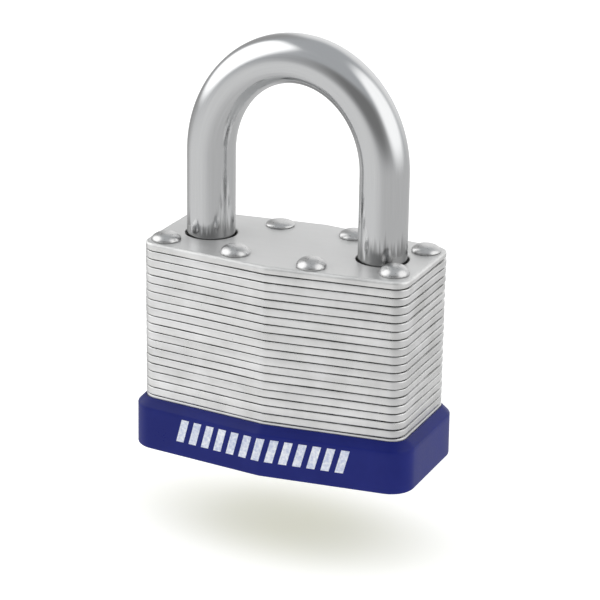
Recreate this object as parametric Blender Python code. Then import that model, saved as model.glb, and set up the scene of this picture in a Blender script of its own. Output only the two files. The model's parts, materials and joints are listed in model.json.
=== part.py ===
"""A laminated steel padlock with a plastic bumper, closed and unlocked, its plug turned a quarter turn.

The lock stands on its bumper. The body is a stack of separate punched plates held by eight rivets.
All dimensions below are in millimetres. X runs across the two legs and the front faces -Y.
"""

import math

import bmesh
import bpy
from mathutils import Matrix
from mathutils import Vector
from mathutils import geometry

MM = 0.001

# Outline of the plates: a long hexagon with short sides and a soft ridge down the front and back
HALF_WIDTH = 32.5
RIDGE_Y = 17.16
CORNER_Y = 13.62
CORNER_RADIUS = 3.75
RIDGE_RADIUS = 5.1

# The stack
PLATES = 24
PLATE_THICKNESS = 1.65
GAP = 0.3
PITCH = PLATE_THICKNESS + GAP
BODY_TOP = 49.65

# Rivets
RIVETS = ((27.8, 9.05), (9.4, 11.7))
RIVET_RADIUS = 2.0
RIVET_HEAD_RADIUS = 3.4
RIVET_HEAD_HEIGHT = 1.9
RIVET_FOOT_HEIGHT = 1.2
RIVET_SIDES = 8

# Shackle
LEG_X = 21.3
SHACKLE_RADIUS = 5.6
ARCH_START_Z = 69.25
ARCH_HEIGHT = 23.82
TOE_Z = 35.45
HEEL_Z = 12.45
HEEL_SHOULDER_Z = 15.15
NECK_TOP_Z = 32.45
NECK_RADIUS = 3.2
LEG_CLEARANCE = 0.4
SHACKLE_SIDES = 16

# Locking bolts and the cam between them, in the slot of plates 3 and 4
BOLT_Z = 40.2
BOLT_HEIGHT = 3.6
BOLT_IN = 2.7
BOLT_OUT = 15.4
BOLT_HALF_WIDTH = 5.5
CAM_SHORT = 2.4
CAM_LONG = 4.5
SHAFT_RADIUS = 2.5
NOTCH_X = LEG_X - 3.2

# Cylinder
PLUG_RADIUS = 4.5
PLUG_FACE_Z = 2.05
PLUG_TOP_Z = 28.2
PLUG_HEAD_RADIUS = 5.6
SHELL_Z = 5.1
SHELL_TOP_Z = 26.25
SHELL_RADIUS = 6.8
TOWER_HALF = 3.2
TOWER_Y = 12.6
PIN_Z = (8.45, 12.45, 16.45, 20.45)
PIN_RADIUS = 1.3
KEY_PIN_LENGTHS = (3.2, 2.5, 3.6, 2.8)
DRIVER_LENGTH = 3.0

# Bumper
BUMPER_OFFSET = 2.1
BUMPER_RIM_Z = 12.05
BUMPER_BEVEL = 1.7
BUMPER_FLOOR = 2.85
KEY_OPENING_RADIUS = 8.0

for old in list(bpy.data.objects):
    bpy.data.objects.remove(old, do_unlink=True)
for old_mesh in list(bpy.data.meshes):
    bpy.data.meshes.remove(old_mesh)


def material(name, colour, metallic, roughness):
    made = bpy.data.materials.new(name)
    made.use_nodes = True
    shader = made.node_tree.nodes["Principled BSDF"]
    shader.inputs["Base Color"].default_value = (*colour, 1.0)
    shader.inputs["Metallic"].default_value = metallic
    shader.inputs["Roughness"].default_value = roughness
    made.diffuse_color = (*colour, 1.0)
    return made


PLATE_STEEL = material("plate_steel", (0.60, 0.60, 0.58), 1.0, 0.38)
INNER_STEEL = material("inner_plate_steel", (0.50, 0.50, 0.49), 1.0, 0.45)
RIVET_STEEL = material("rivet_steel", (0.66, 0.66, 0.65), 1.0, 0.22)
SHACKLE_CHROME = material("shackle_chrome", (0.74, 0.75, 0.76), 1.0, 0.12)
HARD_STEEL = material("hardened_steel", (0.42, 0.42, 0.43), 1.0, 0.35)
SPRING_STEEL = material("spring_steel", (0.55, 0.55, 0.56), 1.0, 0.30)
BRASS = material("brass", (0.78, 0.60, 0.28), 1.0, 0.32)
PIN_BRASS = material("pin_brass", (0.72, 0.53, 0.24), 1.0, 0.28)
BUMPER_BLUE = material("bumper_plastic", (0.02, 0.06, 0.32), 0.0, 0.42)


def add(name, mesh, slot, origin=(0.0, 0.0, 0.0)):
    """An object from a bmesh drawn in world millimetres, with its origin where asked."""
    shift = Vector(origin)
    for vert in mesh.verts:
        vert.co = (vert.co - shift) * MM
    bmesh.ops.recalc_face_normals(mesh, faces=mesh.faces[:])
    data = bpy.data.meshes.new(name)
    mesh.to_mesh(data)
    mesh.free()
    data.materials.append(slot)
    made = bpy.data.objects.new(name, data)
    made.location = shift * MM
    bpy.context.scene.collection.objects.link(made)
    return made


def circle(x, y, radius, sides, turn=0.0):
    step = 2.0 * math.pi / sides
    return [
        (x + radius * math.cos(turn + step * i), y + radius * math.sin(turn + step * i))
        for i in range(sides)
    ]


def outline(offset=0.0, steps=4, ridge_steps=3):
    """The hexagon with rounded corners, grown outward by the offset."""
    corners = (
        (-HALF_WIDTH, -CORNER_Y, CORNER_RADIUS),
        (0.0, -RIDGE_Y, RIDGE_RADIUS),
        (HALF_WIDTH, -CORNER_Y, CORNER_RADIUS),
        (HALF_WIDTH, CORNER_Y, CORNER_RADIUS),
        (0.0, RIDGE_Y, RIDGE_RADIUS),
        (-HALF_WIDTH, CORNER_Y, CORNER_RADIUS),
    )
    loop = []
    for i, (x, y, radius) in enumerate(corners):
        here = Vector((x, y))
        before = (Vector(corners[i - 1][:2]) - here).normalized()
        after = (Vector(corners[(i + 1) % 6][:2]) - here).normalized()
        half = 0.5 * before.angle(after)
        centre = here + (before + after).normalized() * radius / math.sin(half)
        start = here + before * radius / math.tan(half) - centre
        turn = math.pi - 2.0 * half
        count = ridge_steps if i in (1, 4) else steps
        for k in range(count):
            a = math.atan2(start.y, start.x) + turn * k / (count - 1)
            reach = radius + offset
            loop.append((centre.x + reach * math.cos(a), centre.y + reach * math.sin(a)))
    return loop


def inside(loop, x, y):
    found = False
    for i in range(len(loop)):
        x0, y0 = loop[i - 1]
        x1, y1 = loop[i]
        if (y0 > y) != (y1 > y) and x < x0 + (y - y0) * (x1 - x0) / (y1 - y0):
            found = not found
    return found


def slab(bottom, top, outer, holes=()):
    """A flat plate between two heights, with straight holes through it."""
    loops = [outer, *holes]
    points = [Vector(p) for loop in loops for p in loop]
    edges = []
    start = 0
    for loop in loops:
        edges += [(start + i, start + (i + 1) % len(loop)) for i in range(len(loop))]
        start += len(loop)
    found = geometry.delaunay_2d_cdt(points, edges, [], 0, 1e-5)
    mesh = bmesh.new()
    low = [mesh.verts.new((p.x, p.y, bottom)) for p in points]
    high = [mesh.verts.new((p.x, p.y, top)) for p in points]
    for face in found[2]:
        middle = sum((found[0][i] for i in face), Vector((0.0, 0.0))) / 3.0
        if not inside(outer, *middle):
            continue
        if any(inside(hole, *middle) for hole in holes):
            continue
        corners = [found[3][i][0] for i in face]
        mesh.faces.new([high[i] for i in corners])
        mesh.faces.new([low[i] for i in reversed(corners)])
    for a, b in edges:
        mesh.faces.new((low[a], low[b], high[b], high[a]))
    return mesh


def rings(loops):
    """A closed skin through rings of the same count, the ends filled."""
    mesh = bmesh.new()
    made = [[mesh.verts.new(p) for p in loop] for loop in loops]
    count = len(loops[0])
    for lower, upper in zip(made, made[1:]):
        for i in range(count):
            j = (i + 1) % count
            mesh.faces.new((lower[i], lower[j], upper[j], upper[i]))
    mesh.faces.new(list(reversed(made[0])))
    mesh.faces.new(made[-1])
    return mesh


def lathe(x, y, profile, sides, turn=0.0):
    """A turned piece on a vertical axis, from (radius, height) pairs going up."""
    return rings([[(*p, z) for p in circle(x, y, radius, sides, turn)] for radius, z in profile])


def side_lathe(z, profile, sides, towards):
    """A turned piece lying down: towards is the unit direction of its axis, out from the plug's."""
    axis = Vector(towards)
    across = axis.cross(Vector((0.0, 0.0, 1.0)))
    up = Vector((0.0, 0.0, 1.0))
    loops = []
    for radius, reach in profile:
        centre = axis * reach + up * z
        ring = [across * px + up * py + centre for px, py in circle(0.0, 0.0, radius, sides)]
        loops.append(ring)
    return rings(loops)


def box(low, high):
    mesh = bmesh.new()
    bmesh.ops.create_cube(mesh, size=1.0)
    for vert in mesh.verts:
        vert.co = Vector([a + (b - a) * (c + 0.5) for a, b, c in zip(low, high, vert.co)])
    return mesh


def cut(target, mesh, operation="DIFFERENCE"):
    """Takes a shape out of an object, or joins it on, and leaves the helper hidden."""
    helper = add(target.name + "_helper", mesh, HARD_STEEL)
    helper.hide_render = True
    helper.display_type = "WIRE"
    boolean = target.modifiers.new("cut", "BOOLEAN")
    boolean.operation = operation
    boolean.object = helper
    boolean.solver = "EXACT"
    return helper


def coil(centre, axis_turn, radius, wire, turns, length, per_turn=8, sides=4):
    """A helical spring rising from the centre; axis_turn turns it from standing to lying."""
    loops = []
    count = int(turns * per_turn)
    for i in range(count + 1):
        t = i / count
        a = 2.0 * math.pi * turns * t
        out = Vector((math.cos(a), math.sin(a), 0.0))
        middle = out * radius + Vector((0.0, 0.0, wire + (length - 2.0 * wire) * t))
        ring = []
        for k in range(sides):
            b = 2.0 * math.pi * (k + 0.5) / sides
            ring.append(middle + out * wire * math.cos(b) + Vector((0.0, 0.0, wire * math.sin(b))))
        loops.append([axis_turn @ p + Vector(centre) for p in ring])
    return rings(loops)


# ---- plates -------------------------------------------------------------------------------------

BODY = outline()
RIVET_HOLES = [
    circle(sx * x, sy * y, RIVET_RADIUS + GAP, RIVET_SIDES, math.pi / RIVET_SIDES)
    for x, y in RIVETS
    for sx in (-1, 1)
    for sy in (-1, 1)
]
LEG_HOLE = SHACKLE_RADIUS + LEG_CLEARANCE
TOE_HOLE = circle(LEG_X, 0.0, LEG_HOLE, SHACKLE_SIDES)
HEEL_HOLE = circle(-LEG_X, 0.0, LEG_HOLE, SHACKLE_SIDES)
CLIP_POCKET = circle(-LEG_X, 0.0, 7.5, 16)
SHAFT_HOLE = circle(0.0, 0.0, SHAFT_RADIUS + GAP, 12)
RING_HOLE = circle(0.0, 0.0, 6.4, 16)
PLUG_HOLE = circle(0.0, 0.0, PLUG_HEAD_RADIUS + GAP, 20)


def bolt_slot():
    """One opening that joins the two leg holes, where the bolts slide."""
    loop = []
    for i in range(9):
        a = -0.5 * math.pi + math.pi * i / 8
        loop.append((LEG_X + LEG_HOLE * math.cos(a), LEG_HOLE * math.sin(a)))
    for i in range(9):
        a = 0.5 * math.pi + math.pi * i / 8
        loop.append((-LEG_X + LEG_HOLE * math.cos(a), LEG_HOLE * math.sin(a)))
    return loop


def cylinder_loop(grow, steps=12):
    """The shell's outline: a round barrel with a straight-sided pin tower at the back."""
    radius = SHELL_RADIUS + grow
    half = TOWER_HALF + grow
    start = math.acos(half / radius)
    sweep = 2.0 * math.pi - (math.pi - 2.0 * start)
    loop = []
    for i in range(steps + 1):
        a = math.pi - start + sweep * i / steps
        loop.append((radius * math.cos(a), radius * math.sin(a)))
    back = TOWER_Y + (1.7 if grow else 0.0)
    loop.append((half, back))
    loop.append((-half, back))
    return loop


def holes_of(i):
    """The openings of plate i, counted from the top; what passes through decides them."""
    if i in (3, 4):
        return [bolt_slot()]
    found = []
    if i < 8:
        found.append(TOE_HOLE)
    if i == 9:
        found.append(CLIP_POCKET)
    elif i < PLATES - 1:
        found.append(HEEL_HOLE)
    if 5 <= i <= 10:
        found.append(SHAFT_HOLE)
    if i == 11:
        found.append(RING_HOLE)
    if 12 <= i < PLATES - 1:
        found.append(cylinder_loop(GAP))
    if i == PLATES - 1:
        found.append(PLUG_HOLE)
    return found


PLATE_NAMES = {
    0: "top_plate",
    3: "bolt_plate_upper",
    4: "bolt_plate_lower",
    9: "retainer_plate",
    11: "ring_plate",
    PLATES - 1: "bottom_plate",
}
for number in range(PLATES):
    top = BODY_TOP - PITCH * number
    if number in PLATE_NAMES:
        plate_name = PLATE_NAMES[number]
    elif number < 12:
        plate_name = f"guide_plate_{number:02d}"
    else:
        plate_name = f"cylinder_plate_{number:02d}"
    shape = slab(top - PLATE_THICKNESS, top, BODY, [*RIVET_HOLES, *holes_of(number)])
    add(plate_name, shape, PLATE_STEEL if number < 20 else INNER_STEEL)

# ---- rivets -------------------------------------------------------------------------------------

BODY_BOTTOM = BODY_TOP - PITCH * (PLATES - 1) - PLATE_THICKNESS


def rivet(x, y):
    """Dome on top, shank through every plate, flatter dome below; heads have twice the sides."""
    head = BODY_TOP + GAP
    foot = BODY_BOTTOM - GAP
    low = [(1.2, foot - RIVET_FOOT_HEIGHT), (2.7, foot - 0.6 * RIVET_FOOT_HEIGHT)]
    low += [(RIVET_HEAD_RADIUS, foot - 0.1), (RIVET_HEAD_RADIUS, foot)]
    high = []
    for k in range(4):
        a = 0.5 * math.pi * k / 3.5
        top_z = head + RIVET_HEAD_HEIGHT * math.sin(a)
        high.append((RIVET_HEAD_RADIUS * math.cos(a), top_z))
    high[-1] = (high[-1][0], head + RIVET_HEAD_HEIGHT)
    mesh = bmesh.new()
    sides = 2 * RIVET_SIDES
    turn = math.pi / RIVET_SIDES
    ends = []
    for profile in (low, high):
        made = []
        for radius, z in profile:
            ring = circle(x, y, radius, sides, turn)
            made.append([mesh.verts.new((*p, z)) for p in ring])
        for lower, upper in zip(made, made[1:]):
            for i in range(sides):
                j = (i + 1) % sides
                mesh.faces.new((lower[i], lower[j], upper[j], upper[i]))
        ends.append(made)
    mesh.faces.new(list(reversed(ends[0][0])))
    mesh.faces.new(ends[1][-1])
    shank = circle(x, y, RIVET_RADIUS, RIVET_SIDES, turn)
    below = [mesh.verts.new((*p, foot)) for p in shank]
    above = [mesh.verts.new((*p, head)) for p in shank]
    for i in range(RIVET_SIDES):
        j = (i + 1) % RIVET_SIDES
        mesh.faces.new((below[i], below[j], above[j], above[i]))
    for rim, inner in ((ends[0][-1], below), (ends[1][0], above)):
        for i in range(RIVET_SIDES):
            j = (i + 1) % RIVET_SIDES
            mesh.faces.new((rim[2 * i], rim[2 * i + 1], inner[i]))
            mesh.faces.new((rim[2 * i + 1], rim[(2 * i + 2) % sides], inner[j], inner[i]))
    return mesh


for row, side_y in (("front", -1), ("back", 1)):
    spots = ((-RIVETS[0][0], RIVETS[0][1]), (-RIVETS[1][0], RIVETS[1][1]), RIVETS[1], RIVETS[0])
    for number, (rivet_x, rivet_y) in enumerate(spots):
        shape = rivet(rivet_x, side_y * rivet_y)
        add(f"rivet_{row}_{number + 1}", shape, RIVET_STEEL)

# ---- shackle ------------------------------------------------------------------------------------


def shackle():
    """The bow: heel leg with a neck and foot, tall round arch, short toe leg."""
    chamfer = 0.8
    stations = [
        (-LEG_X, HEEL_Z, SHACKLE_RADIUS - chamfer, 0.0),
        (-LEG_X, HEEL_Z + chamfer, SHACKLE_RADIUS, 0.0),
        (-LEG_X, HEEL_SHOULDER_Z, SHACKLE_RADIUS, 0.0),
        (-LEG_X, HEEL_SHOULDER_Z, NECK_RADIUS, 0.0),
        (-LEG_X, NECK_TOP_Z, NECK_RADIUS, 0.0),
        (-LEG_X, NECK_TOP_Z + 1.2, SHACKLE_RADIUS, 0.0),
    ]
    steps = 16
    for i in range(steps + 1):
        a = math.pi * i / steps
        x = -LEG_X * math.cos(a)
        z = ARCH_START_Z + ARCH_HEIGHT * math.sin(a)
        slope = math.atan2(LEG_X * math.sin(a), ARCH_HEIGHT * math.cos(a))
        stations.append((x, z, SHACKLE_RADIUS, slope))
    stations.append((LEG_X, TOE_Z + chamfer, SHACKLE_RADIUS, math.pi))
    stations.append((LEG_X, TOE_Z, SHACKLE_RADIUS - chamfer, math.pi))
    loops = []
    for x, z, radius, slope in stations:
        across = Vector((math.cos(slope), 0.0, -math.sin(slope)))
        ring = []
        for px, py in circle(0.0, 0.0, radius, SHACKLE_SIDES):
            ring.append(Vector((x, 0.0, z)) + across * px + Vector((0.0, py, 0.0)))
        loops.append(ring)
    return rings(loops)


bow = add("shackle", shackle(), SHACKLE_CHROME, (-LEG_X, 0.0, BODY_TOP))
for side in (-1, 1):
    near = side * (NOTCH_X - 6.0)
    far = side * NOTCH_X
    low_corner = (min(near, far), -7.0, BOLT_Z - 0.35)
    high_corner = (max(near, far), 7.0, BOLT_Z + BOLT_HEIGHT + 0.35)
    cut(bow, box(low_corner, high_corner))

add(
    "shackle_spring",
    coil((-LEG_X, 0.0, SHELL_Z), Matrix.Identity(3), 4.0, 0.45, 6.0, HEEL_Z - GAP - SHELL_Z),
    SPRING_STEEL,
    (-LEG_X, 0.0, SHELL_Z),
)


def open_ring(x, outer, inner, mouth, towards):
    """A flat ring with a straight-sided mouth, as an outline."""
    reach = math.asin(mouth / outer)
    back = math.asin(min(1.0, mouth / inner))
    loop = []
    steps = 14
    for i in range(steps + 1):
        a = towards + reach + (2.0 * math.pi - 2.0 * reach) * i / steps
        loop.append((x + outer * math.cos(a), outer * math.sin(a)))
    for i in range(steps + 1):
        a = towards - back - (2.0 * math.pi - 2.0 * back) * i / steps
        loop.append((x + inner * math.cos(a), inner * math.sin(a)))
    return loop


RETAINER_TOP = BODY_TOP - PITCH * 9
add(
    "shackle_retainer",
    slab(
        RETAINER_TOP - PLATE_THICKNESS,
        RETAINER_TOP,
        open_ring(-LEG_X, 7.2, NECK_RADIUS + GAP, NECK_RADIUS + 0.1, 0.0),
    ),
    HARD_STEEL,
)

# ---- locking bolts and cam ----------------------------------------------------------------------

for side_name, side in (("left", -1), ("right", 1)):
    bolt_outline = [
        (BOLT_IN, -BOLT_HALF_WIDTH),
        (BOLT_OUT - 3.2, -BOLT_HALF_WIDTH),
        (BOLT_OUT, -3.6),
        (BOLT_OUT, 3.6),
        (BOLT_OUT - 3.2, BOLT_HALF_WIDTH),
        (BOLT_IN, BOLT_HALF_WIDTH),
    ]
    mirrored = [(side * x, y) for x, y in bolt_outline]
    add(
        f"locking_bolt_{side_name}",
        slab(BOLT_Z, BOLT_Z + BOLT_HEIGHT, mirrored),
        HARD_STEEL,
        (side * BOLT_IN, 0.0, BOLT_Z + 0.5 * BOLT_HEIGHT),
    )

cam_outline = []
for i in range(20):
    angle = 2.0 * math.pi * i / 20
    cam_outline.append((CAM_SHORT * math.cos(angle), CAM_LONG * math.sin(angle)))
cam_low = [(x, y, BOLT_Z) for x, y in cam_outline]
cam_high = [(x, y, BOLT_Z + BOLT_HEIGHT) for x, y in cam_outline]
cam = add("locking_cam", rings([cam_low, cam_high]), HARD_STEEL)
cut(cam, lathe(0.0, 0.0, [(SHAFT_RADIUS, PLUG_TOP_Z + GAP), (SHAFT_RADIUS, BOLT_Z + 1.0)], 12), "UNION")
cut(cam, box((-0.8, -2.3, SHELL_TOP_Z), (0.8, 2.3, PLUG_TOP_Z + 1.0)), "UNION")

# ---- cylinder -----------------------------------------------------------------------------------

shell = add("cylinder_shell", slab(SHELL_Z, SHELL_TOP_Z, cylinder_loop(0.0)), BRASS)
BORE = PLUG_RADIUS + GAP
cut(shell, lathe(0.0, 0.0, [(BORE, SHELL_Z - 1.0), (BORE, SHELL_TOP_Z + 1.0)], 24))
CHAMBER = PIN_RADIUS + GAP
for pin_z in PIN_Z:
    cut(shell, side_lathe(pin_z, [(CHAMBER, 3.0), (CHAMBER, TOWER_Y + 1.0)], 12, (0.0, 1.0, 0.0)))

plug_profile = [
    (PLUG_HEAD_RADIUS - 0.4, PLUG_FACE_Z),
    (PLUG_HEAD_RADIUS, PLUG_FACE_Z + 0.4),
    (PLUG_HEAD_RADIUS, SHELL_Z - GAP),
    (PLUG_RADIUS, SHELL_Z - GAP),
    (PLUG_RADIUS, SHELL_TOP_Z),
    (3.6, SHELL_TOP_Z),
    (3.6, SHELL_TOP_Z + 1.4),
    (PLUG_RADIUS, SHELL_TOP_Z + 1.4),
    (PLUG_RADIUS, PLUG_TOP_Z),
]
plug = add("plug", lathe(0.0, 0.0, plug_profile, 24), BRASS)
# The plug is drawn turned to unlocked, so its pin chambers point to -X and the keyway lies along X.
for pin_z in PIN_Z:
    cut(plug, side_lathe(pin_z, [(CHAMBER, 0.4), (CHAMBER, 6.0)], 12, (-1.0, 0.0, 0.0)))
KEYWAY_TOP = 23.05
cut(plug, box((-3.3, -0.85, PLUG_FACE_Z - 1.0), (3.7, 0.85, KEYWAY_TOP)))
cut(plug, box((-0.4, -1.6, PLUG_FACE_Z - 1.0), (1.1, 0.5, KEYWAY_TOP - 0.2)))
cut(plug, box((-1.1, -6.0, SHELL_TOP_Z - GAP), (1.1, 6.0, PLUG_TOP_Z + 1.0)))

add(
    "plug_ring",
    slab(
        SHELL_TOP_Z + GAP,
        SHELL_TOP_Z + 1.1,
        open_ring(0.0, 5.9, 3.9, 3.0, 0.5 * math.pi),
    ),
    SPRING_STEEL,
)

for number, (pin_z, pin_length) in enumerate(zip(PIN_Z, KEY_PIN_LENGTHS)):
    shear = PLUG_RADIUS - 0.15
    tip = shear - pin_length
    profile = [(0.4, tip), (PIN_RADIUS, tip + 0.8), (PIN_RADIUS, shear)]
    add(f"key_pin_{number + 1}", side_lathe(pin_z, profile, 10, (-1.0, 0.0, 0.0)), PIN_BRASS)
    start = BORE + 0.15
    end = start + DRIVER_LENGTH
    profile = [(PIN_RADIUS - 0.3, start), (PIN_RADIUS, start + 0.3), (PIN_RADIUS, end)]
    add(f"driver_pin_{number + 1}", side_lathe(pin_z, profile, 10, (0.0, 1.0, 0.0)), HARD_STEEL)
    lying = Matrix.Rotation(-0.5 * math.pi, 3, "X")
    spring_start = end + GAP
    shape = coil((0.0, spring_start, pin_z), lying, 0.95, 0.2, 4.0, TOWER_Y - spring_start, 8, 3)
    add(f"pin_spring_{number + 1}", shape, SPRING_STEEL)

add(
    "pin_cover",
    box((-TOWER_HALF, TOWER_Y + GAP, SHELL_Z + 0.3), (TOWER_HALF, TOWER_Y + 1.4, SHELL_TOP_Z)),
    BRASS,
)

# ---- bumper -------------------------------------------------------------------------------------


def ring_at(offset, z):
    return [(x, y, z) for x, y in outline(offset, 5, 5)]


bumper_skin = [
    ring_at(BUMPER_OFFSET - 1.0, 0.0),
    ring_at(BUMPER_OFFSET - 0.3, 0.3),
    ring_at(BUMPER_OFFSET, 1.0),
    ring_at(BUMPER_OFFSET, BUMPER_RIM_Z - BUMPER_BEVEL),
    ring_at(GAP + 0.35, BUMPER_RIM_Z),
]
bumper = add("bumper", rings(bumper_skin), BUMPER_BLUE)
cavity = [ring_at(GAP, BUMPER_FLOOR), ring_at(GAP, BUMPER_RIM_Z + 2.0)]
cut(bumper, rings(cavity))
cut(bumper, lathe(0.0, 0.0, [(KEY_OPENING_RADIUS, -1.0), (KEY_OPENING_RADIUS, 4.0)], 24))
POCKET = RIVET_HEAD_RADIUS + GAP
for rivet_x, rivet_y in RIVETS:
    for sx in (-1, 1):
        for sy in (-1, 1):
            pocket = [(POCKET, BUMPER_FLOOR - 1.5), (POCKET, BUMPER_FLOOR + 1.0)]
            cut(bumper, lathe(sx * rivet_x, sy * rivet_y, pocket, 12))
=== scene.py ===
"""Looks of the laminated padlock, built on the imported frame."""

import json
import math

import bmesh
import bpy
from mathutils import Matrix, Vector, geometry, noise


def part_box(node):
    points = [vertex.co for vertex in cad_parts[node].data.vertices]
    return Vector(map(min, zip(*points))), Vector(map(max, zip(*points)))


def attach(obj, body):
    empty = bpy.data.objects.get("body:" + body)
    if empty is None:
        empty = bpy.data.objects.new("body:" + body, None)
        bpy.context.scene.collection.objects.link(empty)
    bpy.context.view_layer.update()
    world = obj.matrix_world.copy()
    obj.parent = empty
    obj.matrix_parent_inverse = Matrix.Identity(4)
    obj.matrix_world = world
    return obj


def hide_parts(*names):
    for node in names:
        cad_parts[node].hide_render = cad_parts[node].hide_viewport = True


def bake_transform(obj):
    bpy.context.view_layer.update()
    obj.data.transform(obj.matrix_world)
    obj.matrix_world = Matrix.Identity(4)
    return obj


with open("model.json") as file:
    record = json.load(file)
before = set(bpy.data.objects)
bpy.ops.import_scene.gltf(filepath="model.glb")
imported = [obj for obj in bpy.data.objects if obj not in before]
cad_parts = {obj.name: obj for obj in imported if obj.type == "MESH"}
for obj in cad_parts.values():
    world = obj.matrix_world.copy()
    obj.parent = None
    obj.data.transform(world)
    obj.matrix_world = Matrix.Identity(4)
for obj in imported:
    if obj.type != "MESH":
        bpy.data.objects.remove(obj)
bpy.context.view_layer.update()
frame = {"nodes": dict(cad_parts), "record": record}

MM = 0.001
scene = bpy.context.scene

# Sizes in millimetres, as in the CAD
HALF_WIDTH = 32.5
RIDGE_Y = 17.16
CORNER_Y = 13.62
CORNER_RADIUS = 3.75
RIDGE_RADIUS = 5.1
BODY_TOP = 49.65

RIVETS = ((27.8, 9.05), (9.4, 11.7))
RIVET_HOLE = 2.3
SHANK_RADIUS = 2.0
HEAD_RADIUS = 3.42

LEG_X = 21.3
LEG_HOLE = 6.0
SHACKLE_RADIUS = 5.6
ARCH_START_Z = 69.25
ARCH_HEIGHT = 23.82
TOE_Z = 35.45
NECK_RADIUS = 3.2
NECK_TOP_Z = 32.25
NOTCH_FLOOR = 3.2  # from the leg's axis to the notch's flat
NOTCH_BOTTOM_Z = 39.85
NOTCH_HEIGHT = 4.3

# Plates count from 0 at the top
PLATE_GAP_FILL = 0.18  # closes most of the gap that the CAD leaves between plates
BOLT_PLATES = (3, 4)
TOE_PLATES = 8
RETAINER_PLATE = 9
RING_PLATE = 11
BOTTOM_PLATE = 23
RETAINER_POCKET = 7.5
SHAFT_HOLE = 2.8
RING_HOLE = 6.4
SHELL_HOLE = 7.1
TOWER_HALF = 3.5
TOWER_END = 14.3
PLUG_HOLE = 5.9

BUMPER_WALL = 2.03
BUMPER_FLOOR = 2.85
BUMPER_EDGE = 0.55
KEY_OPENING = 8.0

# The floor, a little below the lock
FLOOR_Z = -20.0
FLOOR_RADIUS = 6000.0


# ---- material helpers ---------------------------------------------------------------------------


def node(tree, kind, settings=None, **inputs):
    """A shader node. An input is a socket, which is linked, or a value; i0 means input number 0."""
    made = tree.nodes.new("ShaderNode" + kind)
    for key, value in (settings or {}).items():
        setattr(made, key, value)
    for key, value in inputs.items():
        target = made.inputs[int(key[1:])] if key[0] == "i" and key[1:].isdigit() else made.inputs[key]
        if isinstance(value, bpy.types.NodeSocket):
            tree.links.new(value, target)
        else:
            target.default_value = value
    return made


def scaled(tree, source, scale):
    return node(tree, "Mapping", Vector=source, Scale=scale).outputs[0]


def clouds(tree, source, scale, detail=3.0, rough=0.5):
    found = node(tree, "TexNoise", Vector=source, Scale=scale, Detail=detail, Roughness=rough)
    return found.outputs[0]


def remap(tree, source, low, high, to_low, to_high, smooth=False):
    kind = {"interpolation_type": "SMOOTHSTEP"} if smooth else None
    made = node(tree, "MapRange", kind)
    tree.links.new(source, made.inputs[0])
    for index, value in enumerate((low, high, to_low, to_high), 1):
        made.inputs[index].default_value = value
    return made.outputs[0]


def math_node(tree, operation, first, second=0.0):
    return node(tree, "Math", {"operation": operation}, i0=first, i1=second).outputs[0]


def mix(tree, amount, first, second, blend="MIX"):
    """Colour mix; first and second are colours or sockets."""
    made = node(tree, "Mix", {"data_type": "RGBA", "blend_type": blend}, i0=amount)
    for index, value in ((6, first), (7, second)):
        if isinstance(value, bpy.types.NodeSocket):
            tree.links.new(value, made.inputs[index])
        else:
            made.inputs[index].default_value = (*value, 1.0)
    return made.outputs[2]


def bump(tree, height, strength, distance, normal=None):
    made = node(tree, "Bump", Height=height, Strength=strength, Distance=distance)
    if normal is not None:
        tree.links.new(normal, made.inputs["Normal"])
    return made.outputs[0]


def material(name, metallic=0.0, roughness=0.4):
    """(material, its tree, its Principled shader, object coordinates in metres)."""
    made = bpy.data.materials.new(name)
    made.use_nodes = True
    tree = made.node_tree
    shader = tree.nodes["Principled BSDF"]
    shader.inputs["Metallic"].default_value = metallic
    shader.inputs["Roughness"].default_value = roughness
    return made, tree, shader, node(tree, "TexCoord").outputs["Object"]


def plug_in(tree, shader, **sockets):
    for key, value in sockets.items():
        tree.links.new(value, shader.inputs[key.replace("_", " ")])


# ---- materials ----------------------------------------------------------------------------------


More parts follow.
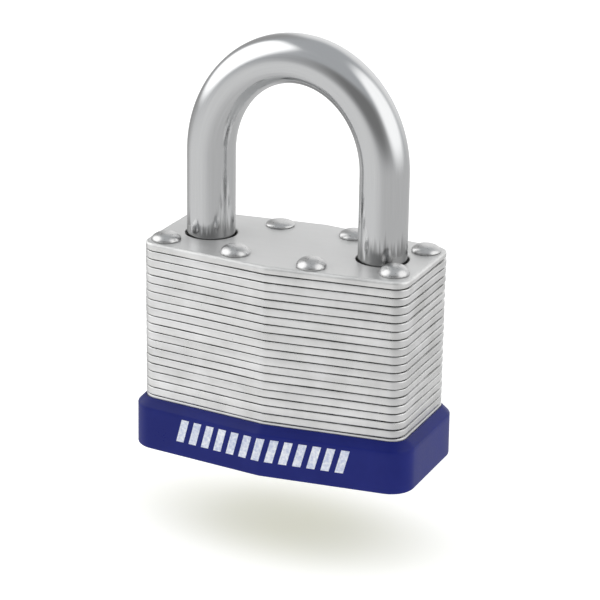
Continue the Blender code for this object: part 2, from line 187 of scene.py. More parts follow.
def plate_material(name, tone, grain, top_tone=None):
    """Zinc-coated sheet: soft blotches, rolled grain, per-plate difference. With a top tone, the upper
    face is duller and filmed over, and the rolled edge is rougher."""
    made, tree, shader, place = material(name, 1.0)
    blotch = clouds(tree, scaled(tree, place, (1.0, 1.0, 1.0)), 160.0, 4.0, 0.6)
    streak = clouds(tree, scaled(tree, place, grain), 1.0, 2.0, 0.5)
    plates_per_metre = 512.8
    level = clouds(tree, scaled(tree, place, (6.0, 6.0, plates_per_metre)), 1.0, 1.0, 0.4)
    dark = tuple(0.86 * c for c in tone)
    light = tuple(min(1.0, 1.07 * c) for c in tone)
    colour = mix(tree, remap(tree, blotch, 0.3, 0.7, 0.0, 1.0), dark, light)
    shade = mix(tree, remap(tree, level, 0.35, 0.65, 0.0, 1.0), (0.90, 0.90, 0.90), (1.0, 1.0, 1.0))
    colour = mix(tree, 1.0, colour, shade, "MULTIPLY")
    if top_tone:
        upward = node(tree, "SeparateXYZ", Vector=node(tree, "NewGeometry").outputs["Normal"]).outputs[2]
        film = math_node(tree, "MULTIPLY", math_node(tree, "ADD", blotch, streak), 0.5)
        dull = mix(tree, remap(tree, film, 0.35, 0.65, 0.0, 1.0), tuple(0.93 * c for c in top_tone), top_tone)
        flat = remap(tree, upward, 0.93, 0.995, 0.0, 1.0, True)
        colour = mix(tree, flat, colour, dull)
    rough = math_node(
        tree, "ADD", remap(tree, streak, 0.25, 0.75, 0.25, 0.35), remap(tree, blotch, 0.3, 0.7, -0.03, 0.06)
    )
    if top_tone:
        edge = math_node(tree, "SUBTRACT", 1.0, flat)
        rolled = math_node(tree, "MULTIPLY", remap(tree, upward, 0.1, 0.4, 0.0, 0.28, True), edge)
        rough = math_node(tree, "ADD", rough, rolled)
        rough = math_node(tree, "ADD", rough, math_node(tree, "MULTIPLY", flat, 0.05))
        filmed = math_node(tree, "SUBTRACT", 1.0, math_node(tree, "MULTIPLY", flat, 0.48))
        plug_in(tree, shader, Metallic=filmed)
    fine = clouds(tree, scaled(tree, place, (1.0, 1.0, 1.0)), 2600.0, 3.0, 0.6)
    relief = bump(tree, streak, 0.09, 0.00004)
    relief = bump(tree, fine, 0.08, 0.00003, relief)
    plug_in(tree, shader, Base_Color=colour, Roughness=rough, Normal=relief)
    return made


def chrome_material(name):
    """Softly polished plating with fine lines along the bar. Just above the plates it carries painted dark
    streaks, a painted reflection of the top plate, set by height in the world so that they stay there when
    the shackle is lifted."""
    made, tree, shader, _ = material(name, 1.0)
    along = node(tree, "UVMap").outputs[0]
    place = node(tree, "NewGeometry").outputs["Position"]
    lines = clouds(tree, scaled(tree, along, (260.0, 5.0, 1.0)), 1.0, 4.0, 0.6)
    soft = clouds(tree, scaled(tree, along, (18.0, 2.0, 1.0)), 1.0, 2.0, 0.5)
    painted_reflection_flames = clouds(tree, scaled(tree, along, (19.0, 1.2, 1.0)), 1.0, 4.0, 0.7)
    colour = mix(tree, remap(tree, lines, 0.3, 0.7, 0.0, 1.0), (0.622, 0.627, 0.632), (0.672, 0.677, 0.682))
    # Painted reflection: dark flame-like streaks on the legs just above the top plate stand in for the
    # plate's reflection
    height = math_node(tree, "SUBTRACT", node(tree, "SeparateXYZ", Vector=place).outputs[2], BODY_TOP * MM)
    reach = remap(tree, painted_reflection_flames, 0.38, 0.66, 0.0010, 0.0084)
    above = remap(tree, math_node(tree, "DIVIDE", height, reach), 0.35, 1.1, 1.0, 0.0, True)
    painted_reflection_mark = math_node(tree, "MULTIPLY", above, 0.8)
    colour = mix(tree, painted_reflection_mark, colour, (0.23, 0.23, 0.23))
    rough = math_node(
        tree, "ADD", remap(tree, lines, 0.3, 0.7, 0.11, 0.17), remap(tree, soft, 0.3, 0.7, -0.02, 0.03)
    )
    relief = bump(tree, lines, 0.06, 0.00003)
    relief = bump(tree, soft, 0.15, 0.00008, relief)
    plug_in(tree, shader, Base_Color=colour, Roughness=rough, Normal=relief)
    return made


def rivet_material(name):
    """Bright steel head, slightly dented and scuffed by the riveting tool."""
    made, tree, shader, place = material(name, 1.0)
    dents = clouds(tree, place, 420.0, 2.0, 0.5)
    scuffs = clouds(tree, scaled(tree, place, (1.0, 1.0, 2.0)), 1500.0, 4.0, 0.6)
    colour = mix(tree, remap(tree, scuffs, 0.35, 0.65, 0.0, 1.0), (0.59, 0.59, 0.59), (0.69, 0.69, 0.685))
    rough = remap(tree, scuffs, 0.3, 0.7, 0.26, 0.34)
    relief = bump(tree, dents, 0.20, 0.00010)
    relief = bump(tree, scuffs, 0.03, 0.00003, relief)
    plug_in(tree, shader, Base_Color=colour, Roughness=rough, Normal=relief)
    return made


def plastic_material(name):
    """Navy moulded plastic: half gloss, with a fine moulded grain and faint rubbing."""
    made, tree, shader, place = material(name)
    shader.inputs["IOR"].default_value = 1.33
    shader.inputs["Specular IOR Level"].default_value = 0.38
    rub = clouds(tree, place, 110.0, 3.0, 0.55)
    grain = clouds(tree, place, 2200.0, 2.0, 0.5)
    colour = mix(tree, remap(tree, rub, 0.35, 0.7, 0.0, 1.0), (0.006, 0.012, 0.146), (0.009, 0.016, 0.172))
    rough = math_node(
        tree, "ADD", remap(tree, rub, 0.3, 0.7, 0.30, 0.38), remap(tree, grain, 0.3, 0.7, -0.03, 0.03)
    )
    relief = bump(tree, grain, 0.10, 0.00003)
    relief = bump(tree, rub, 0.12, 0.00010, relief)
    plug_in(tree, shader, Base_Color=colour, Roughness=rough, Normal=relief)
    return made


def ink_material(name):
    """White pad print: thin in places, so that a little blue comes through."""
    made, tree, shader, place = material(name, 0.0, 0.5)
    thin = clouds(tree, place, 1500.0, 3.0, 0.6)
    wide = clouds(tree, place, 300.0, 2.0, 0.5)
    most = math_node(tree, "MULTIPLY", thin, 0.7)
    rest = math_node(tree, "MULTIPLY", wide, 0.3)
    amount = math_node(tree, "ADD", most, rest)
    colour = mix(tree, remap(tree, amount, 0.38, 0.62, 0.0, 1.0), (0.50, 0.55, 0.72), (0.82, 0.84, 0.89))
    plug_in(tree, shader, Base_Color=colour, Normal=bump(tree, thin, 0.2, 0.00002))
    return made


def machined_material(name, tone, roughness, tint):
    """Turned or ground metal, for the inner pieces."""
    made, tree, shader, place = material(name, 1.0)
    lathe_marks = clouds(tree, scaled(tree, place, (120.0, 120.0, 3800.0)), 1.0, 3.0, 0.5)
    stain = clouds(tree, place, 260.0, 3.0, 0.6)
    colour = mix(tree, remap(tree, stain, 0.35, 0.7, 0.0, 1.0), tone, tint)
    rough = remap(tree, lathe_marks, 0.3, 0.7, roughness - 0.06, roughness + 0.08)
    plug_in(tree, shader, Base_Color=colour, Roughness=rough, Normal=bump(tree, lathe_marks, 0.2, 0.00003))
    return made


PLATE = plate_material("plate_steel_look", (0.95, 0.95, 0.94), (420.0, 420.0, 60.0))
TOP_PLATE = plate_material("top_plate_look", (0.93, 0.93, 0.92), (90.0, 420.0, 420.0), (0.76, 0.76, 0.755))
CHROME = chrome_material("shackle_chrome_look")
RIVET = rivet_material("rivet_look")
PLASTIC = plastic_material("bumper_plastic_look")
INK = ink_material("print_look")
BRASS = machined_material("brass_look", (0.72, 0.54, 0.24), 0.30, (0.80, 0.63, 0.32))
PIN_BRASS = machined_material("pin_brass_look", (0.66, 0.48, 0.20), 0.26, (0.74, 0.56, 0.27))
HARD_STEEL = machined_material("hard_steel_look", (0.36, 0.36, 0.37), 0.34, (0.46, 0.46, 0.47))
SPRING_STEEL = machined_material("spring_steel_look", (0.50, 0.50, 0.51), 0.28, (0.60, 0.60, 0.61))


# ---- shape helpers ------------------------------------------------------------------------------


def place_mesh(name, mesh, look, body, nodes, angle=35.0):
    """Turns a bmesh drawn in millimetres into a piece that rides on a body and stands for CAD nodes."""
    for vert in mesh.verts:
        vert.co *= MM
    bmesh.ops.recalc_face_normals(mesh, faces=mesh.faces[:])
    data = bpy.data.meshes.new(name)
    mesh.to_mesh(data)
    mesh.free()
    data.shade_smooth()
    data.set_sharp_from_angle(angle=math.radians(angle))
    data.materials.append(look)
    made = bpy.data.objects.new(name, data)
    scene.collection.objects.link(made)
    if body:
        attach(made, body)
    if nodes:
        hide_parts(*nodes)
    return made


def edge_loop(corner_steps=12, ridge_steps=9, pitch=2.4):
    """Points round the plates' outline as (x, y, normal x, normal y), evenly spaced along the sides."""
    corners = (
        (-HALF_WIDTH, -CORNER_Y, CORNER_RADIUS),
        (0.0, -RIDGE_Y, RIDGE_RADIUS),
        (HALF_WIDTH, -CORNER_Y, CORNER_RADIUS),
        (HALF_WIDTH, CORNER_Y, CORNER_RADIUS),
        (0.0, RIDGE_Y, RIDGE_RADIUS),
        (-HALF_WIDTH, CORNER_Y, CORNER_RADIUS),
    )
    arcs = []
    for i, (x, y, radius) in enumerate(corners):
        here = Vector((x, y))
        before = (Vector(corners[i - 1][:2]) - here).normalized()
        after = (Vector(corners[(i + 1) % 6][:2]) - here).normalized()
        half = 0.5 * before.angle(after)
        centre = here + (before + after).normalized() * radius / math.sin(half)
        start = here + before * radius / math.tan(half) - centre
        turn = math.pi - 2.0 * half
        steps = ridge_steps if i in (1, 4) else corner_steps
        arc = []
        for k in range(steps):
            a = math.atan2(start.y, start.x) + turn * k / (steps - 1)
            nx, ny = math.cos(a), math.sin(a)
            arc.append((centre.x + radius * nx, centre.y + radius * ny, nx, ny))
        arcs.append(arc)
    loop = []
    for i, arc in enumerate(arcs):
        loop += arc
        following = arcs[(i + 1) % 6][0]
        last = arc[-1]
        span = math.hypot(following[0] - last[0], following[1] - last[1])
        count = max(1, int(span / pitch))
        for k in range(1, count):
            t = k / count
            loop.append(tuple(a + (b - a) * t for a, b in zip(last, following)))
    return loop


LOOP = edge_loop()


def grown(offset, z):
    """The outline at height z, moved out by an offset."""
    return [(x + nx * offset, y + ny * offset, z) for x, y, nx, ny in LOOP]


def circle(x, y, radius, sides, z=0.0):
    step = 2.0 * math.pi / sides
    return [
        (x + radius * math.cos(step * i), y + radius * math.sin(step * i), z) for i in range(sides)
    ]


def inside(loop, x, y):
    """Whether a point lies inside a closed loop, by counting crossings."""
    found = False
    for i in range(len(loop)):
        x0, y0 = loop[i - 1][:2]
        x1, y1 = loop[i][:2]
        if (y0 > y) != (y1 > y) and x < x0 + (y - y0) * (x1 - x0) / (y1 - y0):
            found = not found
    return found


def cap(mesh, outer, holes):
    """Flat triangles between one outer ring and the rings of its holes."""
    loops = [outer, *holes]
    verts = [v for loop in loops for v in loop]
    points = [v.co.xy for v in verts]
    edges = []
    start = 0
    for loop in loops:
        edges += [(start + i, start + (i + 1) % len(loop)) for i in range(len(loop))]
        start += len(loop)
    only_inside = 1
    found = geometry.delaunay_2d_cdt(points, edges, [], only_inside, 1e-6)
    hole_points = [[v.co for v in hole] for hole in holes]
    for face in found[2]:
        middle = sum((found[0][i] for i in face), Vector((0.0, 0.0))) / 3.0
        if any(inside(hole, *middle) for hole in hole_points):
            continue
        corners = [verts[found[3][i][0]] for i in face]
        if len(set(corners)) == 3:
            mesh.faces.new(corners)


def bridge(mesh, stack):
    for lower, upper in zip(stack, stack[1:]):
        for i in range(len(lower)):
            j = (i + 1) % len(lower)
            mesh.faces.new((lower[i], lower[j], upper[j], upper[i]))


def solid(outer, holes=()):
    """A solid from the rings of its rim, top cap to bottom cap, and the rings down each hole."""
    mesh = bmesh.new()
    rim = [[mesh.verts.new(p) for p in ring] for ring in outer]
    bores = [[[mesh.verts.new(p) for p in ring] for ring in hole] for hole in holes]
    for stack in (rim, *bores):
        bridge(mesh, stack)
    cap(mesh, rim[0], [bore[0] for bore in bores])
    cap(mesh, rim[-1], [bore[-1] for bore in bores])
    return mesh


def tube_of(rings):
    """A closed skin through rings, with one face over each end."""
    mesh = bmesh.new()
    made = [[mesh.verts.new(p) for p in ring] for ring in rings]
    bridge(mesh, made)
    mesh.faces.new(made[0])
    mesh.faces.new(made[-1])
    return mesh


# ---- plates -------------------------------------------------------------------------------------


def straight_hole(x, y, radius, sides, top, bottom, soften=0.0):
    """The rings down a round hole, with a rounded upper edge if softened."""
    rings = []
    if soften:
        rings.append(circle(x, y, radius + soften + 0.25, sides, top))
        for k in range(5):
            a = 0.5 * math.pi * k / 4
            grow = soften * (1.0 - math.sin(a))
            drop = soften * (1.0 - math.cos(a))
            rings.append(circle(x, y, radius + grow, sides, top - drop))
    else:
        rings.append(circle(x, y, radius, sides, top))
    rings.append(circle(x, y, radius, sides, bottom))
    return rings


def slot_hole(top, bottom):
    """The bolts' slot, from one leg hole to the other."""
    loop = []
    for side in (1, -1):
        for i in range(17):
            a = -side * 0.5 * math.pi + math.pi * i / 16
            loop.append((side * LEG_X + LEG_HOLE * math.cos(a), LEG_HOLE * math.sin(a)))
    return [[(x, y, z) for x, y in loop] for z in (top, bottom)]


def cylinder_hole(top, bottom):
    """The keyhole shape that takes the cylinder shell and its pin tower."""
    start = math.acos(TOWER_HALF / SHELL_HOLE)
    steps = 28
    loop = []
    for i in range(steps + 1):
        a = math.pi - start + (math.pi + 2.0 * start) * i / steps
        loop.append((SHELL_HOLE * math.cos(a), SHELL_HOLE * math.sin(a)))
    loop += [(TOWER_HALF, TOWER_END), (-TOWER_HALF, TOWER_END)]
    return [[(x, y, z) for x, y in loop] for z in (top, bottom)]


def plate(number, cad_node):
    """One punched plate: rounded upper edge, torn and tapered lower edge, never quite flat or square."""
    low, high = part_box(cad_node)
    top = high.z / MM
    bottom = low.z / MM - PLATE_GAP_FILL
    first = number == 0
    seed = 3.7 * number + 1.3
    shift_x = 0.05 * noise.noise(Vector((seed, 0.5, 0.0)))
    shift_y = 0.07 * noise.noise(Vector((0.5, seed, 0.0)))
    roll = 0.62 if first else 0.11
    rim = [[] for _ in range(13)]
    for x, y, nx, ny in LOOP:
        bow = 0.0 if first else 0.04 * noise.noise(Vector((x * 0.05, y * 0.05, seed)))
        sag = 0.04 * noise.noise(Vector((x * 0.05, y * 0.05, seed + 3.7)))
        swell = 0.03 * noise.noise(Vector((x * 0.12, y * 0.12, seed + 9.0)))
        here = roll * (1.0 + 0.3 * noise.noise(Vector((x * 0.22, y * 0.22, seed + 5.0))))
        ragged = noise.noise(Vector((x * 0.08, y * 0.08, seed + 7.0)))
        tear = (0.21 + 0.24 * nx**4) * (1.0 + 0.8 * ragged)
        steps = [(-here - 0.3, top), (-here, top)]
        for k in range(1, 5):
            a = 0.5 * math.pi * k / 4
            steps.append((-here * (1.0 - math.sin(a)), top - here * (1.0 - math.cos(a))))
        steps.append((0.0, top - here - 0.25))
        steps.append((0.0, bottom + tear + 0.25))
        steps.append((-0.01, bottom + tear + 0.05))
        steps.append((-0.04, bottom + tear - 0.02))
        steps.append((-0.06 - 0.5 * tear, bottom + 0.42 * tear))
        steps.append((-0.12 - tear, bottom))
        steps.append((-0.45 - tear, bottom))
        for ring, (offset, z) in zip(rim, steps):
            t = (z - bottom) / (top - bottom)
            lift = sag * (1.0 - t) + bow * t
            reach = offset + swell - 0.05
            ring.append((x + nx * reach + shift_x, y + ny * reach + shift_y, z + lift))
    holes = []
    for hole_x, hole_y in RIVETS:
        for sx in (-1, 1):
            for sy in (-1, 1):
                holes.append(straight_hole(sx * hole_x, sy * hole_y, RIVET_HOLE, 20, top, bottom))
    if number in BOLT_PLATES:
        holes.append(slot_hole(top, bottom))
    else:
        if number < TOE_PLATES:
            holes.append(straight_hole(LEG_X, 0.0, LEG_HOLE, 72, top, bottom, 0.28))
        if number == RETAINER_PLATE:
            holes.append(straight_hole(-LEG_X, 0.0, RETAINER_POCKET, 48, top, bottom))
        elif number < BOTTOM_PLATE:
            holes.append(straight_hole(-LEG_X, 0.0, LEG_HOLE, 72, top, bottom, 0.28))
        if BOLT_PLATES[-1] < number < RING_PLATE:
            holes.append(straight_hole(0.0, 0.0, SHAFT_HOLE, 32, top, bottom))
        if number == RING_PLATE:
            holes.append(straight_hole(0.0, 0.0, RING_HOLE, 48, top, bottom))
        if RING_PLATE < number < BOTTOM_PLATE:
            holes.append(cylinder_hole(top, bottom))
        if number == BOTTOM_PLATE:
            holes.append(straight_hole(0.0, 0.0, PLUG_HOLE, 64, top, bottom))
    name = "plate_top" if first else f"plate_{number:02d}"
    look = TOP_PLATE if first else PLATE
    return place_mesh(name, solid(rim, holes), look, "body", [cad_node])


plate_nodes = [name for name in frame["nodes"] if "plate" in name]
plate_nodes.sort(key=lambda name: -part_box(name)[1].z)
for number, cad_node in enumerate(plate_nodes):
    plate(number, cad_node)


# ---- rivets -------------------------------------------------------------------------------------


# How far each head sits off its hole, and how high its dome is, from left to right in each row
HEAD_SHIFTS = {
    "front": ((-0.2, -0.5), (-0.4, 0.5), (-0.1, -0.4), (-0.2, 0.5)),
    "back": ((0.1, 0.2), (0.2, 0.0), (0.0, -0.1), (0.4, 0.1)),
}
HEAD_HEIGHTS = {"front": (1.85, 2.0, 2.2, 2.25), "back": (1.6, 1.2, 1.75, 1.7)}


def rivet(cad_node, seed):
    """A cold-formed head with a slightly uneven dome and rim, and its shank and flat foot."""
    low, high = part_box(cad_node)
    x = 0.5 * (low.x + high.x) / MM
    y = 0.5 * (low.y + high.y) / MM
    _, row, number = cad_node.split("_")
    shift_x, shift_y = HEAD_SHIFTS[row][int(number) - 1]
    height = HEAD_HEIGHTS[row][int(number) - 1]
    seat = BODY_TOP + 0.02
    foot = low.z / MM
    radius = HEAD_RADIUS
    profile = [(0.3, foot), (1.6, foot + 0.15), (2.7, foot + 0.5), (3.3, foot + 1.1)]
    profile += [(SHANK_RADIUS, foot + 1.15), (SHANK_RADIUS, seat)]
    profile += [(radius - 0.22, seat), (radius - 0.1, seat + 0.04), (radius - 0.02, seat + 0.12)]
    rim = 0.22
    for k in range(15):
        a = 0.5 * math.pi * k / 14.3
        across = math.cos(a) ** 0.8
        up = math.sin(a) ** 1.25
        profile.append((radius * across, seat + rim + (height - rim) * up))
    rings = []
    for reach, z in profile:
        ring = []
        head = 1.0 if z > seat - 0.01 else 0.0
        for px, py, pz in circle(0.0, 0.0, reach, 56, z):
            uneven = 0.07 * noise.noise(Vector((px * 0.3 + seed, py * 0.3, z * 0.3)))
            grow = 1.0 + 0.35 * uneven * head
            lift = uneven * head * (z - seat) / height
            ring.append((x + px * grow + shift_x * head, y + py * grow + shift_y * head, pz + lift))
        rings.append(ring)
    name = cad_node + "_look"
    return place_mesh(name, tube_of(rings), RIVET, "body", [cad_node], 50.0)


rivet_nodes = sorted(name for name in frame["nodes"] if name.startswith("rivet"))
for number, cad_node in enumerate(rivet_nodes):
    rivet(cad_node, 11.7 + 5.3 * number)


# ---- shackle ------------------------------------------------------------------------------------


def bow_stations(heel):
    """(x, z, radius, slope) along the bar: foot, neck, heel leg, arch and toe leg."""
    full = SHACKLE_RADIUS
    foot = ((full - 1.1, 0.0), (full - 0.6, 0.15), (full - 0.2, 0.5), (full, 1.0), (full, 2.4))
    shoulder = ((full - 0.15, 2.65), (full - 0.4, 2.7), (NECK_RADIUS + 0.2, 2.7), (NECK_RADIUS, 2.9))
    stations = [(-LEG_X, heel + rise, reach, 0.0) for reach, rise in (*foot, *shoulder)]
    neck = ((NECK_RADIUS, 0.0), (NECK_RADIUS + 0.3, 0.3), (full - 0.4, 1.2), (full - 0.1, 1.5), (full, 1.9))
    stations += [(-LEG_X, NECK_TOP_Z + rise, reach, 0.0) for reach, rise in neck]
    heights = (38.5, 44.5, 49.5, 54.5, 59.5, 64.5)
    stations += [(-LEG_X, z, full, 0.0) for z in heights]
    steps = 72
    for i in range(steps + 1):
        a = math.pi * i / steps
        slope = math.atan2(LEG_X * math.sin(a), ARCH_HEIGHT * math.cos(a))
        x = -LEG_X * math.cos(a)
        stations.append((x, ARCH_START_Z + ARCH_HEIGHT * math.sin(a), full, slope))
    stations += [(LEG_X, z, full, math.pi) for z in reversed(heights)]
    toe = ((full, 1.0), (full - 0.2, 0.5), (full - 0.6, 0.15), (full - 1.1, 0.0))
    stations += [(LEG_X, TOE_Z + rise, reach, math.pi) for reach, rise in toe]
    return stations


def cut_notch(bow, side):
    """The flat-bottomed notch on a leg's inner side, which a bolt slides into."""
    near = side * (LEG_X - NOTCH_FLOOR)
    far = side * (LEG_X - NOTCH_FLOOR - 6.0)
    cutter = bmesh.new()
    bmesh.ops.create_cube(cutter, size=1.0)
    for vert in cutter.verts:
        vert.co.x = near if (vert.co.x > 0) == (side > 0) else far
        vert.co.y *= 16.0
        vert.co.z = NOTCH_BOTTOM_Z + (vert.co.z + 0.5) * NOTCH_HEIGHT
    helper = place_mesh("notch_cutter", cutter, CHROME, None, None)
    boolean = bow.modifiers.new("notch", "BOOLEAN")
    boolean.operation = "DIFFERENCE"
    boolean.solver = "EXACT"
    boolean.object = helper
    done = bow.evaluated_get(bpy.context.evaluated_depsgraph_get())
    cut = bpy.data.meshes.new_from_object(done)
    bow.modifiers.clear()
    bow.data = cut
    bpy.data.objects.remove(helper)


def shackle():
    """The bow as one smooth bar, with UVs along it, and the two notches cut."""
    low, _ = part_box("shackle")
    stations = bow_stations(low.z / MM)
    sides = 72
    rings = []
    for x, z, reach, slope in stations:
        across = Vector((math.cos(slope), 0.0, -math.sin(slope)))
        middle = Vector((x, 0.0, z))
        around = circle(0, 0, reach, sides)
        rings.append([middle + across * px + Vector((0.0, py, 0.0)) for px, py, _ in around])
    mesh = bmesh.new()
    made = [[mesh.verts.new(p) for p in ring] for ring in rings]
    layer = mesh.loops.layers.uv.new("UVMap")
    travel = [0.0]
    for (x0, z0, *_), (x1, z1, *_) in zip(stations, stations[1:]):
        travel.append(travel[-1] + 0.001 + math.hypot(x1 - x0, z1 - z0))
    for k, (lower, upper) in enumerate(zip(made, made[1:])):
        for i in range(sides):
            j = (i + 1) % sides
            face = mesh.faces.new((lower[i], lower[j], upper[j], upper[i]))
            spots = ((i, k), (i + 1, k), (i + 1, k + 1), (i, k + 1))
            for loop, (u, v) in zip(face.loops, spots):
                loop[layer].uv = (u / sides, 0.01 * travel[v])
    mesh.faces.new(made[0])
    mesh.faces.new(made[-1])
    bow = place_mesh("shackle_bow", mesh, CHROME, None, None)
    for side in (-1, 1):
        cut_notch(bow, side)
    bow.data.set_sharp_from_angle(angle=math.radians(35.0))
    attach(bow, "shackle")
    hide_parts("shackle")
    return bow


shackle()


# ---- bumper -------------------------------------------------------------------------------------


def bumper():
    """Moulded cap: chamfered rim, near-upright walls, rounded lower edge, floor with a key opening."""
    _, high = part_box("bumper")
    rim_z = high.z / MM
    wall = BUMPER_WALL
    bevel_z = rim_z - 1.7
    stack = [
        (-0.3, BUMPER_FLOOR),
        (0.06, BUMPER_FLOOR),
        (0.06, rim_z - 1.6),
        (-0.03, rim_z - 0.9),
        (-0.03, rim_z - 0.15),
        (0.05, rim_z - 0.03),
        (0.16, rim_z),
        (0.32, rim_z - 0.06),
        (wall - 0.24, bevel_z + 0.12),
        (wall - 0.10, bevel_z - 0.04),
        (wall - 0.03, bevel_z - 0.26),
        (wall - 0.03, bevel_z - 1.2),
        (wall, 5.0),
        (wall + 0.02, 1.2),
    ]
    edge = BUMPER_EDGE
    for k in range(7):
        a = 0.5 * math.pi * k / 6
        stack.append((wall + 0.02 - edge * (1.0 - math.cos(a)), edge * (1.0 - math.sin(a))))
    stack.append((wall - edge - 0.4, 0.0))
    outer = [grown(offset, z) for offset, z in stack]
    lips = ((0.5, BUMPER_FLOOR), (0.1, 2.8), (0.0, 2.5), (0.0, 0.6), (0.15, 0.2), (0.5, 0.02), (0.9, 0.0))
    opening = [circle(0.0, 0.0, KEY_OPENING + grow, 72, z) for grow, z in lips]
    cap_mesh = solid(outer, [opening])
    return place_mesh("bumper_cap", cap_mesh, PLASTIC, "body", ["bumper"])


bumper()


def front_point(along, lift):
    """A point off the bumper's front wall by a lift, at a distance along the wall from the ridge."""
    side = 1.0 if along >= 0 else -1.0
    slope = math.atan2(RIDGE_Y - CORNER_Y, HALF_WIDTH)
    ridge = RIDGE_Y + BUMPER_WALL / math.cos(slope)
    x = along * math.cos(slope)
    y = -ridge + abs(along) * math.sin(slope)
    soft = 0.5 * (RIDGE_RADIUS + BUMPER_WALL) * slope
    if abs(along) < 2.0 * soft:
        y += 0.5 * slope * (2.0 * soft - abs(along)) ** 2 / (4.0 * soft)
    return Vector((x, y, 0.0)) + Vector((side * math.sin(slope), -math.cos(slope), 0.0)) * lift


def printed_bars():
    """A plain row of slanting bars, pad printed in white on the front."""
    mesh = bmesh.new()
    count = 13
    pitch = 3.35
    width = 1.95
    low, high = 3.75, 9.3
    lean = 1.5
    start = -21.3
    steps = 6
    for b in range(count):
        left = start + b * pitch
        rims = []
        for lift in (0.035, -0.08):
            grid = []
            for r in range(steps + 1):
                t = r / steps
                row = []
                for k in range(steps + 1):
                    spot = front_point(left + width * k / steps + lean * (t - 0.5), lift)
                    row.append(mesh.verts.new((spot.x, spot.y, low + (high - low) * t)))
                grid.append(row)
            for lower, upper in zip(grid, grid[1:]):
                for k in range(steps):
                    mesh.faces.new((lower[k], lower[k + 1], upper[k + 1], upper[k]))
            up = [row[-1] for row in grid[1:-1]]
            down = [row[0] for row in grid[-2:0:-1]]
            rims.append([*grid[0], *up, *reversed(grid[-1]), *down])
        bridge(mesh, rims)
    return place_mesh("bumper_print", mesh, INK, "body", None)


printed_bars()


# ---- inner pieces -------------------------------------------------------------------------------


def spring(name, cad_node, centre, turn, radius, wire, turns, length, look):
    """A round-wire coil with closed ends."""
    rings = []
    per_turn = 28
    around = 10
    count = int(turns * per_turn)
    for i in range(count + 1):
        t = i / count
        a = 2.0 * math.pi * turns * t
        eased = t - 0.05 * math.sin(2.0 * math.pi * t)
        out = Vector((math.cos(a), math.sin(a), 0.0))
        middle = out * radius + Vector((0.0, 0.0, wire + (length - 2.0 * wire) * eased))
        ring = []
        for k in range(around):
            b = 2.0 * math.pi * k / around
            ring.append(middle + out * wire * math.cos(b) + Vector((0.0, 0.0, wire * math.sin(b))))
        rings.append([turn @ p + Vector(centre) for p in ring])
    return place_mesh(name, tube_of(rings), look, None, [cad_node])


low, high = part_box("shackle_spring")
heel_spring = spring(
    "heel_spring",
    "shackle_spring",
    (-LEG_X, 0.0, low.z / MM),
    Matrix.Identity(3),
    4.0,
    0.42,
    6.0,
    (high.z - low.z) / MM,
    SPRING_STEEL,
)
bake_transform(heel_spring)

lying = Matrix.Rotation(-0.5 * math.pi, 3, "X")
for number in range(1, 5):
    low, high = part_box(f"pin_spring_{number}")
    spot = (0.0, low.y / MM, 0.5 * (low.z + high.z) / MM)
    length = (high.y - low.y) / MM
    names = (f"pin_coil_{number}", f"pin_spring_{number}")
    made = spring(*names, spot, lying, 0.95, 0.18, 5.0, length, SPRING_STEEL)
    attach(made, "body")

CARRIED = {
    "brass": BRASS,
    "pin_brass": PIN_BRASS,
    "hardened_steel": HARD_STEEL,
    "spring_steel": SPRING_STEEL,
    "plate_steel": PLATE,
    "inner_plate_steel": PLATE,
    "rivet_steel": RIVET,
    "shackle_chrome": CHROME,
    "bumper_plastic": PLASTIC,
}
for entry in frame["record"]["subparts"]:
    carried = frame["nodes"][entry["node"]]
    for place in carried.material_slots:
        place.material = CARRIED[entry["material_slot"]]


# ---- stage, light and camera --------------------------------------------------------------------


# The pool of shadow painted into the floor's glow under the lock, in metres and degrees
POOL_CENTRE = (-0.0022, 0.0008)
POOL_HALF_SIZES = (0.0395, 0.0245)
POOL_TURN = math.radians(-13.3)


def painted_shadow_pool(tree, place):
    """Mask of the painted shadow: 1 in the middle of a soft-edged ellipse under the lock, falling to 0
    outside it.
    """
    x, y, _ = node(tree, "SeparateXYZ", Vector=place).outputs
    x = math_node(tree, "ADD", x, -POOL_CENTRE[0])
    y = math_node(tree, "ADD", y, -POOL_CENTRE[1])
    cos = math.cos(POOL_TURN)
    sin = math.sin(POOL_TURN)
    squares = []
    for first, second, half in ((cos, sin, POOL_HALF_SIZES[0]), (-sin, cos, POOL_HALF_SIZES[1])):
        turned_x = math_node(tree, "MULTIPLY", x, first)
        turned_y = math_node(tree, "MULTIPLY", y, second)
        part = math_node(tree, "DIVIDE", math_node(tree, "ADD", turned_x, turned_y), half)
        squares.append(math_node(tree, "POWER", math_node(tree, "ABSOLUTE", part), 2.0))
    cube = math_node(tree, "POWER", math_node(tree, "ADD", squares[0], squares[1]), 1.5)
    return math_node(tree, "EXPONENT", math_node(tree, "MULTIPLY", cube, -1.0))


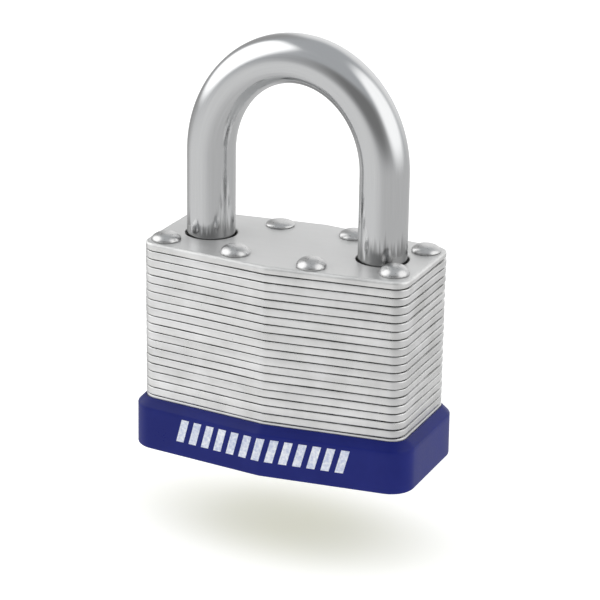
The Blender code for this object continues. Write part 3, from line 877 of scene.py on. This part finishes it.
def floor():
    """A pale table below the lock. It glows so that it burns out to white, except in a soft pool of shadow
    painted into its glow under the lock, and is clear from below."""
    mesh = bmesh.new()
    bmesh.ops.create_circle(mesh, cap_ends=True, segments=96, radius=FLOOR_RADIUS)
    for vert in mesh.verts:
        vert.co.z = FLOOR_Z
    look, tree, shader, place = material("floor_look", 0.0, 0.9)
    wash = clouds(tree, place, 3.0, 2.0, 0.5)
    plug_in(tree, shader, Base_Color=mix(tree, wash, (0.78, 0.78, 0.86), (0.80, 0.80, 0.88)))
    # Painted shadow: the floor's glow drops to a darker, warmer tone in the pool under the lock
    glow_with_painted_shadow = mix(tree, painted_shadow_pool(tree, place), (0.60, 0.60, 0.52), (0.36, 0.36, 0.20))
    plug_in(tree, shader, Emission_Color=glow_with_painted_shadow)
    shader.inputs["Specular IOR Level"].default_value = 0.0
    shader.inputs["Emission Strength"].default_value = 1.0
    below = node(tree, "NewGeometry").outputs["Backfacing"]
    clear = node(tree, "BsdfTransparent").outputs[0]
    shown = node(tree, "MixShader", i0=below, i1=shader.outputs[0], i2=clear).outputs[0]
    tree.links.new(shown, tree.nodes["Material Output"].inputs["Surface"])
    made = place_mesh("floor", mesh, look, None, None)
    if made.data.polygons[0].normal.z < 0.0:
        made.data.flip_normals()
    made.visible_glossy = False


floor()


# Parts of the room: (azimuth, height) of the middle and half sizes in degrees, softness, lean, brightness
PATCHES = (
    ((186.0, 20.0), (42.0, 26.0), 0.6, 0.0, 1.03),
    ((-134.0, 24.0), (17.0, 34.0), 0.5, 0.0, 0.42),
    ((-108.0, -8.0), (24.0, 10.0), 0.5, 0.0, 0.36),
    ((-52.0, -30.0), (54.0, 28.0), 0.5, 0.0, 0.84),
    ((80.0, -30.0), (54.0, 22.0), 0.6, 0.0, 0.62),
    ((150.0, -24.0), (24.0, 16.0), 0.6, 0.0, 0.62),
    ((-125.0, -42.0), (25.0, 18.0), 0.6, 0.0, 0.30),
    ((24.0, 10.0), (46.0, 18.0), 0.45, 0.0, 0.42),
    ((20.0, 13.0), (28.0, 18.0), 0.45, 0.0, 0.23),
    ((97.0, 28.0), (36.0, 33.0), 0.32, 0.0, 1.42),
    ((-74.0, 32.0), (40.0, 30.0), 0.17, 0.25, 1.70),
)


def studio():
    """The room: a grey shell, darker and lighter patches of it, and two bright soft boxes. The camera
    itself sees plain white behind the floor."""
    world = bpy.data.worlds.new("studio")
    scene.world = world
    world.use_nodes = True
    tree = world.node_tree
    background = tree.nodes["Background"]
    split = node(tree, "SeparateXYZ", Vector=node(tree, "TexCoord").outputs["Generated"]).outputs
    turned = math_node(tree, "ARCTAN2", split[0], math_node(tree, "MULTIPLY", split[1], -1.0))
    azimuth = math_node(tree, "DEGREES", turned)
    height = math_node(tree, "DEGREES", math_node(tree, "ARCSINE", split[2]))
    floor_tone = (0.66, 0.66, 0.66)
    shell_tone = (0.52, 0.535, 0.55)
    light = mix(tree, remap(tree, height, -22.0, 8.0, 0.0, 1.0, True), floor_tone, shell_tone)
    for centre, size, soft, lean, tone in PATCHES:
        across = math_node(tree, "SUBTRACT", azimuth, centre[0])
        across = node(tree, "Math", {"operation": "WRAP"}, i0=across, i1=-180.0, i2=180.0).outputs[0]
        rise = math_node(tree, "SUBTRACT", height, centre[1])
        across = math_node(tree, "SUBTRACT", across, math_node(tree, "MULTIPLY", rise, lean))
        reach = []
        for distance, half in ((across, size[0]), (rise, size[1])):
            part = math_node(tree, "ABSOLUTE", math_node(tree, "DIVIDE", distance, half))
            reach.append(math_node(tree, "POWER", part, 3.0))
        edge = math_node(tree, "POWER", math_node(tree, "ADD", reach[0], reach[1]), 1.0 / 3.0)
        amount = remap(tree, edge, 1.0 - soft, 1.0 + soft, 1.0, 0.0, True)
        light = mix(tree, amount, light, (tone, tone, tone))
    seen = node(tree, "LightPath").outputs["Is Camera Ray"]
    tree.links.new(mix(tree, seen, light, (1.0, 1.0, 1.0)), background.inputs["Color"])
    background.inputs["Strength"].default_value = 1.0


studio()

CAMERA_LENS = 148.8
CAMERA_AZIMUTH = math.radians(24.02)
CAMERA_HEIGHT = math.radians(19.81)
CAMERA_ROLL = math.radians(0.84)
CAMERA_DISTANCE = 0.5663
CAMERA_TARGET = (0.00127, 0.0, 0.03655)


def camera():
    """Looks at the target from the photographed side, a little above the lock."""
    data = bpy.data.cameras.new("camera")
    data.sensor_width = 36.0
    data.lens = CAMERA_LENS
    data.clip_start = 0.01
    data.clip_end = 50.0
    made = bpy.data.objects.new("camera", data)
    scene.collection.objects.link(made)
    scene.camera = made
    level = math.cos(CAMERA_HEIGHT)
    side = math.sin(CAMERA_AZIMUTH)
    front = math.cos(CAMERA_AZIMUTH)
    back = Vector((side * level, -front * level, math.sin(CAMERA_HEIGHT)))
    right = Vector((front, side, 0.0))
    up = back.cross(right)
    rolled_right = right * math.cos(CAMERA_ROLL) + up * math.sin(CAMERA_ROLL)
    rolled_up = up * math.cos(CAMERA_ROLL) - right * math.sin(CAMERA_ROLL)
    place = Vector(CAMERA_TARGET) + back * CAMERA_DISTANCE
    columns = Matrix((rolled_right, rolled_up, back)).transposed().to_4x4()
    made.matrix_world = Matrix.Translation(place) @ columns


camera()

scene.view_settings.view_transform = "Standard"
scene.view_settings.look = "None"
scene.cycles.use_denoising = True
